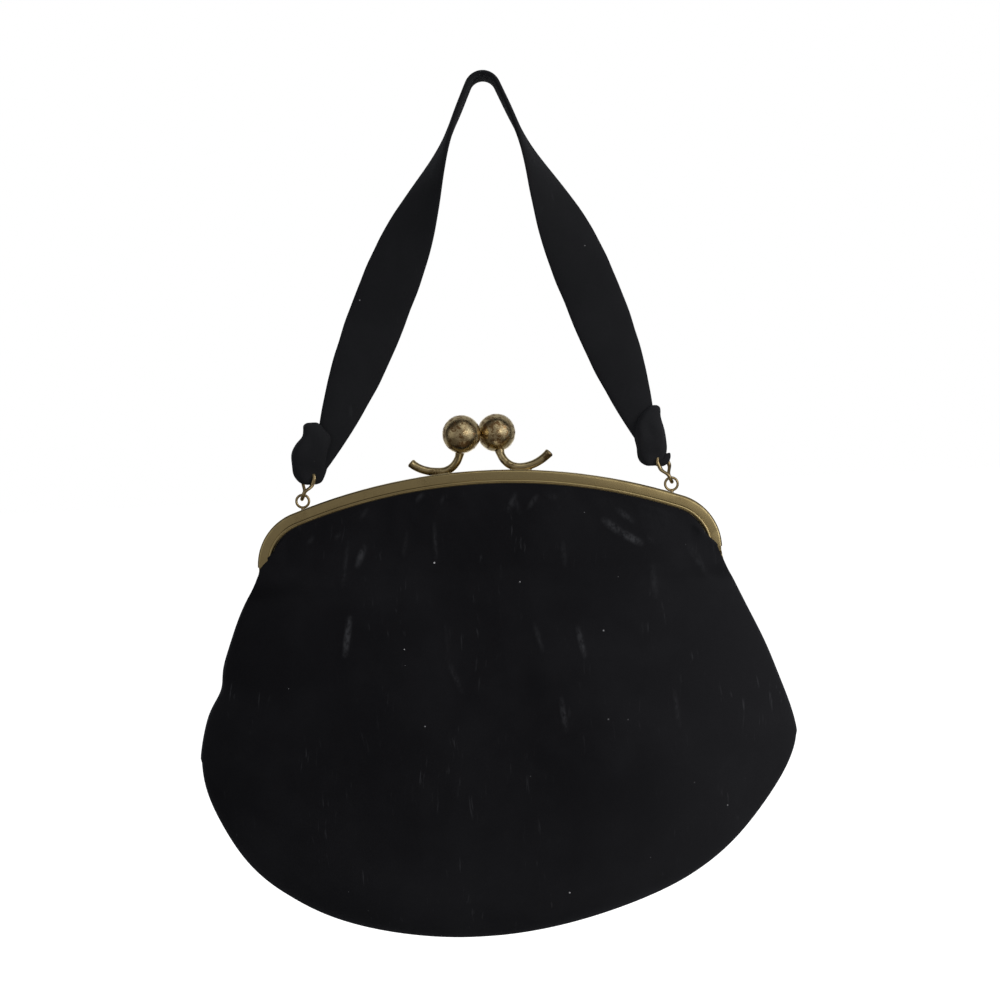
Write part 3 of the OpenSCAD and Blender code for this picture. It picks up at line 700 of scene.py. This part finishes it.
def strap_rings():
    """Rings of the strap from the left link over the arch to the right one."""
    halves = []
    for side in (-1, 1):
        half = []
        for i in range(WRAP_STEPS, 0, -1):
            a = LEG_ANGLE[side] + side * math.pi * i / WRAP_STEPS
            half.append((WIRE_TOP[side] + WRAP_R * turn(a), GATHER_W, GATHER_T, 0.0))
        halves.append(half + [leg_station(side, i / LEG_STEPS) for i in range(LEG_STEPS)])
    start, end = LEG_ANGLE[-1] + math.pi, LEG_ANGLE[1] - math.pi
    bends = [turn(mix(start, end, i / ARCH_STEPS)) for i in range(ARCH_STEPS + 1)]
    arch = [(STRAP_ARCH + ARCH_BEND * bend, STRAP_W, STRAP_T, STRAP_TWIST) for bend in bends]
    path = halves[0] + arch + halves[1][::-1]
    forward, over_rail = Vector((0, 1, 0)), Vector((0, BACK_Y, 0))
    rings = []
    for i, (middle, width, thick, twist) in enumerate(path):
        along = (path[min(i + 1, len(path) - 1)][0] - path[max(i - 1, 0)][0]).normalized()
        across = Vector((-along.z, 0, along.x))
        wide = across * math.cos(twist) + forward * math.sin(twist)
        deep = forward * math.cos(twist) - across * math.sin(twist)
        rings.append((middle + over_rail, wide * width / 2, deep * thick / 2))
    return rings


def strap_ripple(t, a, middle):
    """Small creases along the soft strap, none at the links and few over the arch."""
    soft = smooth((middle.z - 50) / 25) * (1 - 0.7 * smooth((middle.z - 150) / 20))
    face = 0.30 * wander(middle.x / 5.0, middle.z / 26.0, 3.0 * math.cos(a)) * abs(math.sin(a))
    edge = 0.22 * abs(math.cos(a)) ** 6 * wander(middle.z / 9.0, math.cos(a))
    return soft * (face + edge)


def end_rings(stations):
    """Smooth rings through the stations of a folded end, two more between each pair."""
    steps = 3
    rings = []
    for i in range((len(stations) - 1) * steps + 1):
        k, f = divmod(i, steps)
        t = f / steps
        near = (min(max(k + j, 0), len(stations) - 1) for j in (-1, 0, 1, 2))
        a, b, c, d = (Vector(stations[j]) for j in near)
        twice = 2 * b + (c - a) * t
        twice += (2 * a - 5 * b + 4 * c - d) * t * t
        twice += (3 * b - a - 3 * c + d) * t**3
        x, z, half_wide, half_deep = 0.5 * twice
        y = BACK_Y - 0.8 * smooth((z - 40) / 8)
        rings.append((Vector((x, y, z)), Vector((half_wide, 0, 0)), Vector((0, half_deep, 0))))
    return rings


def end_ripple(t, a, middle):
    """Creases of velvet drawn together towards the link."""
    drawn = math.sin(math.pi * min(1, t * 1.15)) ** 0.5
    deep = 0.4 * wander(1.6 * math.cos(a), middle.z / 6.0, 1.6 * math.sin(a))
    return drawn * (0.35 * math.sin(5 * a + 2.5 * wander(middle.z / 9.0, 1.0)) + deep)


# Kiss lock

BALL_RIGHT = Vector((6.6, 3.4558, 52.0072))
LOCK_SHIFT = 2.0
FOOT_X = 15.2
FOOT_Y = 1.85
ARM_D = 3.1
TAIL_STEPS, NECK_STEPS = 30, 40
# The front arm, side 1, is the higher one: height over the arch, and rise of its tail
ARM_HEIGHT = {-1: 0.7, 1: 1.1}
TAIL_RISE = {-1: 3.7, 1: 4.9}
# The blunt tip: how far its rings stand out of the tail, and their share of its size
ARM_TIP = ((0.62, 0.12), (0.6, 0.5), (0.48, 0.78), (0.22, 0.94))
RAIL_PLAY = 0.03


def arch_top(x):
    """Height of the rails' top at x."""
    return ARCH_Z + math.sqrt(ARCH_R**2 - x**2)


def curve_point(p, t):
    """Point at t of the cubic curve with the control points p."""
    s = 1 - t
    return s**3 * p[0] + 3 * t * s**2 * p[1] + 3 * t * t * s * p[2] + t**3 * p[3]


def arm_path(side):
    """Middle line from the tail's tip over the foot up into the ball, for the arm's own half."""
    foot = Vector((FOOT_X, -FOOT_Y, arch_top(FOOT_X) + ARM_HEIGHT[side]))
    lean_in = Vector((0.14, -0.32, -1)).normalized()
    end = BALL_RIGHT + lean_in * 7.1
    neck = (foot, foot - Vector((4.6, 0, 0)), end + lean_in * 3.4, end)
    tip = foot + Vector((11.0, 0, TAIL_RISE[side]))
    tail = (tip, tip - Vector((2.6, 0, 2.6)), foot + Vector((4.4, 0, 0)), foot)
    return [curve_point(tail, i / TAIL_STEPS) for i in range(TAIL_STEPS)] + [
        curve_point(neck, i / NECK_STEPS) for i in range(NECK_STEPS + 1)
    ]


def arm_piece(name, side, material):
    """Arm of one ball: a round bar with a blunt tail, turned half round for the back."""
    path = arm_path(side)
    last = len(path) - 1
    rings = []
    for i, place in enumerate(path):
        along = (path[min(i + 1, last)] - path[max(i - 1, 0)]).normalized()
        up = along.cross(Vector((0, 1, 0))).normalized()
        across = along.cross(up)
        flare = 1 + 0.12 * math.exp(-i / 5.0) + 0.15 * smooth((i - 62) / 8)
        rings.append((place, up * ARM_D / 2 * flare, across * ARM_D / 2 * flare))
    first, wide, deep = rings[0]
    out = (path[0] - path[1]).normalized()
    blunt = [(first + out * reach, wide * size, deep * size) for reach, size in ARM_TIP]
    piece = tube(name, blunt + rings, 32, material)
    half_turn = Matrix.Rotation(math.pi if side < 0 else 0.0, 4, "Z")
    shift = Matrix.Translation((-LOCK_SHIFT, 0, 0))
    piece.data.transform(TO_ROW @ shift @ half_turn @ TO_ROW.inverted())
    # Where the bar would sink into the rail it lies on it
    for vert in piece.data.vertices:
        x = (vert.co.x - HINGE.x) / MM
        vert.co.z = max(vert.co.z, HINGE.z + (arch_top(x) + RAIL_PLAY) * MM)
    return piece


# Links

LINK_SEAT = Vector((70.5, BACK_Y, 30.1543))
LINK_RUN = 10.9
LINK_R = 2.7
LINK_WIRE = 1.5
LINK_LEAN = math.radians(22)
LINK_SIDES, LINK_RINGS = 20, 48
# Turn about its length at the eyelet and in the strap, and from where over what height it turns
LINK_TURN = (math.radians(3), math.radians(48))
TWIST_FROM, TWIST_RUN = 2.5, 4.2


def link_piece(name, sign, material):
    """Oval wire link, square in the eyelet and twisted higher up so that both legs show."""
    bm = bmesh.new()
    bmesh.ops.create_circle(bm, segments=LINK_SIDES, radius=LINK_WIRE / 2)
    bmesh.ops.translate(bm, vec=(LINK_R, 0, 0), verts=bm.verts)
    bmesh.ops.spin(
        bm,
        geom=bm.verts[:] + bm.edges[:],
        cent=(0, 0, 0),
        axis=(0, 1, 0),
        angle=math.tau,
        steps=LINK_RINGS,
        use_merge=True,
    )
    bmesh.ops.remove_doubles(bm, verts=bm.verts, dist=0.001)
    # The ring's upper and lower halves move apart, which leaves two straight legs
    half = LINK_RUN / 2 - LINK_R
    for vert in bm.verts:
        vert.co.z += half * max(-1.0, min(1.0, vert.co.z / 0.3))
    # More rings along the legs, so that they can twist
    legs = [e for e in bm.edges if e.calc_length() > half]
    bmesh.ops.subdivide_edges(bm, edges=legs, cuts=7, use_grid_fill=True)
    for vert in bm.verts:
        up = vert.co.z + LINK_RUN / 2
        a = -sign * mix(*LINK_TURN, smooth((up - TWIST_FROM) / TWIST_RUN))
        vert.co = Matrix.Rotation(a, 3, "Z") @ vert.co
    bmesh.ops.recalc_face_normals(bm, faces=bm.faces)
    place = Matrix.Translation((sign * LINK_SEAT.x, LINK_SEAT.y, LINK_SEAT.z))
    place = place @ Matrix.Rotation(-sign * LINK_LEAN, 4, "Y")
    place = place @ Matrix.Translation((0, 0, LINK_RUN / 2))
    place = place @ Matrix.Rotation(math.pi / 2, 4, "Z")
    bmesh.ops.transform(bm, matrix=place, verts=bm.verts)
    return finish_piece(bm, name, material)


# Stage

SENSOR_W = 36.0
# Width that the picture shows at the purse, and the point at its middle, from the hinge
PICTURE_W = 0.38
AIM = Vector((0.0048, 0.0, 0.0264))
FLOOR_R = 14.0
ROOM_R = 0.31
ROOM_MIDDLE = HINGE + Vector((0, -0.01, 0.05))
ROOM_BACK = 0.27
# Patches of the room, each over the ones before it: direction, cosines to it where the patch
# begins and is full, colour, and how much of it the mottle leaves at least and at most
ROOM_PATCHES = (
    ((-0.8, -0.3, -0.5), 0.75, 0.98, (0.10, 0.085, 0.065), None),
    ((0.82, -0.55, 0.1), 0.72, 0.99, (0.86, 0.82, 0.74), (0.15, 0.85)),
    ((0.25, -0.55, 0.8), 0.86, 0.97, (0.75, 0.72, 0.64), (0.6, 1.0)),
    ((0.42, -0.9, 0.14), 0.962, 0.995, (1.7, 1.6, 1.4), (0.5, 1.0)),
    ((0.1, -0.75, -0.65), 0.75, 0.97, (0.07, 0.05, 0.035), (0.2, 0.9)),
    ((0.1, -0.45, -0.89), 0.93, 0.985, (0.62, 0.56, 0.45), (0.45, 1.0)),
    ((-0.9, -0.42, 0.12), 0.88, 0.99, (0.36, 0.34, 0.29), None),
    ((0, 1, 0.15), 0.12, 0.5, (0.34, 0.33, 0.30), None),
)
# Lamps: place and size in metres, watts and colour
LAMPS = {
    "window right": ((1.5, -1.1, 0.4), (0.8, 1.0), 24.0, (1.0, 0.98, 0.95)),
    "soft left": ((-1.4, -1.2, 0.5), (1.2, 1.2), 6.0, (0.95, 0.97, 1.0)),
    "soft top": ((0.2, 0.5, 1.6), (1.4, 1.0), 10.0, (1.0, 1.0, 1.0)),
}
LAMP_AIM = Vector((0, 0, -0.2))


def add_camera(scene, settings):
    """Camera a little above the front, rolled as the picture is."""
    data = bpy.data.cameras.new("camera")
    data.sensor_width = SENSOR_W
    data.lens = SENSOR_W * settings.camera_distance / PICTURE_W
    data.clip_start, data.clip_end = 0.05, 60.0
    camera = bpy.data.objects.new("camera", data)
    scene.collection.objects.link(camera)
    e = settings.camera_elevation
    back = Vector((0, -math.cos(e), math.sin(e)))
    place = HINGE + AIM + back * settings.camera_distance
    look = (-back).to_track_quat("-Z", "Y").to_matrix()
    roll = Matrix.Rotation(settings.camera_roll, 3, "Z").inverted()
    camera.matrix_world = Matrix.Translation(place) @ (look @ roll).to_4x4()
    scene.camera = camera


def add_floor(settings):
    """Pale floor, which keeps the shadow and shows white."""
    bm = bmesh.new()
    bmesh.ops.create_circle(bm, cap_ends=True, segments=96, radius=FLOOR_R)
    bmesh.ops.translate(bm, vec=(0, 0, CAD_BOX[0].z - settings.floor_drop), verts=bm.verts)
    material, n, surface = empty_material("pale floor")
    diffuse = n.add("ShaderNodeBsdfDiffuse", {"Color": (0.6, 0.6, 0.6, 1)}).outputs[0]
    white = n.add("ShaderNodeEmission", {"Color": (1, 1, 1, 1), "Strength": 0.72}).outputs[0]
    both = n.add("ShaderNodeAddShader", {0: diffuse, 1: white}).outputs[0]
    pick = n.add("ShaderNodeMixShader", {0: n.sees_white(), 1: diffuse, 2: both})
    n.join(pick.outputs[0], surface)
    finish_piece(bm, "floor", material, in_row=True)


def room_colour(n):
    """Colour of the room by the direction from its middle."""
    centred = n.vector("SUBTRACT", {0: n.object_place(), 1: ROOM_MIDDLE}).outputs[0]
    facing = n.vector("NORMALIZE", {0: centred}).outputs[0]
    mottle = n.noise(centred, 19.0, detail=5.0, roughness=0.72, distortion=0.6)
    mottle = n.ramp(mottle, 0.46, 0.56)

    def towards(direction, low, high):
        way = Vector(direction).normalized()
        return n.ramp(n.vector("DOT_PRODUCT", {0: facing, 1: way}).outputs["Value"], low, high)

    front = towards((0, -1, 0.1), 0.1, 0.9)
    colour = n.blend(front, (0.018, 0.014, 0.010, 1), (0.27, 0.25, 0.22, 1))
    for direction, low, high, patch, left in ROOM_PATCHES:
        mask = towards(direction, low, high)
        if left:
            mask = n.math("MULTIPLY", mask, n.ramp(mottle, 0.0, 1.0, *left))
        colour = n.blend(mask, colour, (*patch, 1))
    return colour


def add_room():
    """Dim warm room close round the front, seen only in reflections."""
    bm = bmesh.new()
    bmesh.ops.create_uvsphere(bm, u_segments=64, v_segments=32, radius=ROOM_R)
    bmesh.ops.translate(bm, vec=ROOM_MIDDLE, verts=bm.verts)
    bmesh.ops.bisect_plane(
        bm,
        geom=bm.verts[:] + bm.edges[:] + bm.faces[:],
        plane_co=ROOM_MIDDLE + Vector((0, ROOM_BACK, 0)),
        plane_no=(0, 1, 0),
        clear_outer=True,
    )
    material, n, surface = empty_material("dim room")
    light = n.add("ShaderNodeEmission", {"Color": room_colour(n), "Strength": 1.0})
    n.join(light.outputs[0], surface)
    room = finish_piece(bm, "room", material, in_row=True)
    room.visible_camera = room.visible_diffuse = room.visible_shadow = False
    room.visible_transmission = room.visible_volume_scatter = False


def add_lamps(scene):
    for name, (place, size, power, colour) in LAMPS.items():
        data = bpy.data.lights.new(name, "AREA")
        data.shape, data.size, data.size_y = "RECTANGLE", *size
        data.energy, data.color = power, colour
        lamp = bpy.data.objects.new(name, data)
        lamp.location = place
        aim = (LAMP_AIM - Vector(place)).to_track_quat("-Z", "Y")
        lamp.rotation_euler = aim.to_euler()
        scene.collection.objects.link(lamp)


def add_world(scene):
    """Soft light from all round, plain white where it is seen directly or in a reflection."""
    scene.world = world = bpy.data.worlds.new("white studio")
    world.use_nodes = True
    world.node_tree.nodes.clear()
    n = Nodes(world.node_tree)
    strength = n.ramp(n.sees_white(), 0.0, 1.0, 0.55, 1.0)
    light = n.add("ShaderNodeBackground", {"Color": (1, 1, 1, 1), "Strength": strength})
    n.join(light.outputs[0], n.add("ShaderNodeOutputWorld").inputs[0])


# Settings, operators and panel


class PurseSettings(bpy.types.PropertyGroup):
    """What can be changed before the purse is built"""

    gather_depth: bpy.props.FloatProperty(
        name="Gather depth",
        description="Depth of the pleats below the frame",
        default=0.0011,
        unit="LENGTH",
    )
    streaks: bpy.props.FloatProperty(
        name="Crushed streaks",
        description="Strength of the light marks in the pile",
        default=0.9,
        min=0,
        max=1,
        subtype="FACTOR",
    )
    lint: bpy.props.FloatProperty(
        name="Lint",
        description="Strength of the white specks",
        default=0.8,
        min=0,
        max=1,
        subtype="FACTOR",
    )
    camera_distance: bpy.props.FloatProperty(
        name="Camera distance",
        description="From the camera to the purse",
        default=0.9,
        unit="LENGTH",
    )
    camera_elevation: bpy.props.FloatProperty(
        name="Camera elevation",
        description="Angle above the horizon",
        default=math.radians(1.5),
        unit="ROTATION",
    )
    camera_roll: bpy.props.FloatProperty(
        name="Camera roll",
        description="Turn of the picture",
        default=math.radians(2.7),
        unit="ROTATION",
    )
    floor_drop: bpy.props.FloatProperty(
        name="Floor drop",
        description="From the bag's bottom to the floor",
        default=0.14,
        unit="LENGTH",
    )


class PURSE_OT_stage(bpy.types.Operator):
    """Floor, room, lamps and camera"""

    bl_idname = "purse.stage"
    bl_label = "Stage"

    def execute(self, context):
        scene = context.scene
        scene.view_settings.view_transform = "Standard"
        add_camera(scene, scene.purse)
        add_floor(scene.purse)
        add_room()
        add_lamps(scene)
        add_world(scene)
        return {"FINISHED"}


class PURSE_OT_bag(bpy.types.Operator):
    """Velvet front and back of the bag"""

    bl_idname = "purse.bag"
    bl_label = "Velvet bag"

    def execute(self, context):
        settings = context.scene.purse
        pleats = settings.gather_depth
        cloth = velvet("black velvet bag", BAG_PILE, settings.streaks, settings.lint)
        front = bag_panel("front_velvet", True, 0.0, VELVET_GRID, cloth, pleats)
        back = bag_panel("back_velvet", False, 0.0, VELVET_GRID, cloth, pleats)
        for piece in (front, back):
            thickened(piece, VELVET_THICK)
        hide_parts("front_panel", "front_interlining")
        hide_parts("back_panel", "back_interlining")
        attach(back, "back_frame")
        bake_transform(front)
        return {"FINISHED"}


class PURSE_OT_lining(bpy.types.Operator):
    """Satin lining inside the bag"""

    bl_idname = "purse.lining"
    bl_label = "Lining"

    def execute(self, context):
        satin = woven(
            "black lining satin",
            (0.022, 0.022, 0.026),
            roughness=0.42,
            thread=900.0,
            strength=0.25,
            sheen=0.05,
        )
        back = bag_panel("back_lining_satin", False, LINING_IN, LINING_GRID, satin)
        front = bag_panel("front_lining_satin", True, LINING_IN, LINING_GRID, satin)
        for piece in (front, back):
            thickened(piece, LINING_THICK)
        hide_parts("back_lining")
        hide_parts("front_lining", "mouth_lining")
        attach(back, "back_frame")
        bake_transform(front)
        return {"FINISHED"}


class PURSE_OT_strap(bpy.types.Operator):
    """Velvet strap drawn through both links"""

    bl_idname = "purse.strap"
    bl_label = "Strap"

    def execute(self, context):
        streaks, lint = context.scene.purse.streaks, context.scene.purse.lint * 0.4
        cloth = velvet("black velvet strap", STRAP_PILE, streaks * 0.5, lint)
        folded = velvet("black velvet strap ends", END_PILE, streaks, lint)
        strap = subdivided(tube("strap_ribbon", strap_rings(), 28, cloth, 0.8, strap_ripple))
        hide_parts("strap")
        ends = [
            subdivided(tube(f"{side}_strap_end", end_rings(stations), 40, folded, 0.9, end_ripple))
            for side, stations in STRAP_ENDS.items()
        ]
        for piece in (strap, *ends):
            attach(piece, "strap")
        return {"FINISHED"}


class PURSE_OT_frame(bpy.types.Operator):
    """Brass rails, rivets and the paper cord in their channels"""

    bl_idname = "purse.frame"
    bl_label = "Frame"

    def execute(self, context):
        rails = ["back_rail", "front_rail", "left_hinge_rivet", "right_hinge_rivet"]
        repaint(rails, brass("aged brass frame"))
        paper = woven(
            "paper cord",
            (0.36, 0.29, 0.19),
            roughness=0.9,
            thread=1500.0,
            strength=0.3,
            sheen=0.0,
        )
        repaint(["back_channel_cord", "front_channel_cord"], paper)
        return {"FINISHED"}


class PURSE_OT_lock(bpy.types.Operator):
    """Kiss lock arms, feet and balls"""

    bl_idname = "purse.lock"
    bl_label = "Kiss lock"

    def execute(self, context):
        metal = brass("aged brass clasp with painted reflections")
        repaint(["back_arm_foot", "front_arm_foot"], metal)
        for side, sign in (("back", -1), ("front", 1)):
            arm = arm_piece(f"{side}_arm", sign, metal)
            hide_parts(f"{side}_kiss_arm")
            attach(arm, f"{side}_frame")
            lo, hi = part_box(f"{side}_kiss_ball")
            bm = bmesh.new()
            bmesh.ops.create_uvsphere(bm, u_segments=64, v_segments=32, radius=(hi - lo).x / 2)
            bmesh.ops.translate(bm, vec=(lo + hi) / 2, verts=bm.verts)
            ball = finish_piece(bm, f"{side}_ball", brass("spotted brass balls"), in_row=True)
            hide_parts(f"{side}_kiss_ball")
            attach(ball, f"{side}_frame")
        return {"FINISHED"}


class PURSE_OT_links(bpy.types.Operator):
    """Eyelets on the frame and the links that carry it"""

    bl_idname = "purse.links"
    bl_label = "Eyelets and links"

    def execute(self, context):
        wire = brass("worn brass links")
        repaint(["left_eyelet", "right_eyelet"], wire)
        for side, sign in (("left", -1), ("right", 1)):
            link = link_piece(f"{side}_oval_link", sign, wire)
            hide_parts(f"{side}_link")
            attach(link, f"{side}_link")
        return {"FINISHED"}


class PURSE_PT_panel(bpy.types.Panel):
    """The settings, and a button for each group of pieces"""

    bl_idname = "PURSE_PT_panel"
    bl_label = "Kiss lock purse"
    bl_space_type = "VIEW_3D"
    bl_region_type = "UI"
    bl_category = "Purse"

    def draw(self, context):
        settings = context.scene.purse
        for name in PurseSettings.__annotations__:
            self.layout.prop(settings, name)
        for operator in OPERATORS:
            self.layout.operator(operator.bl_idname)


OPERATORS = (
    PURSE_OT_stage,
    PURSE_OT_bag,
    PURSE_OT_lining,
    PURSE_OT_strap,
    PURSE_OT_frame,
    PURSE_OT_lock,
    PURSE_OT_links,
)


def register():
    for cls in (PurseSettings, *OPERATORS, PURSE_PT_panel):
        bpy.utils.register_class(cls)
    bpy.types.Scene.purse = bpy.props.PointerProperty(type=PurseSettings)


def unregister():
    del bpy.types.Scene.purse
    for cls in (PURSE_PT_panel, *reversed(OPERATORS), PurseSettings):
        bpy.utils.unregister_class(cls)


def main():
    register()
    bpy.ops.purse.stage()
    bpy.ops.purse.bag()
    bpy.ops.purse.lining()
    bpy.ops.purse.strap()
    bpy.ops.purse.frame()
    bpy.ops.purse.lock()
    bpy.ops.purse.links()


if __name__ == "__main__":
    main()
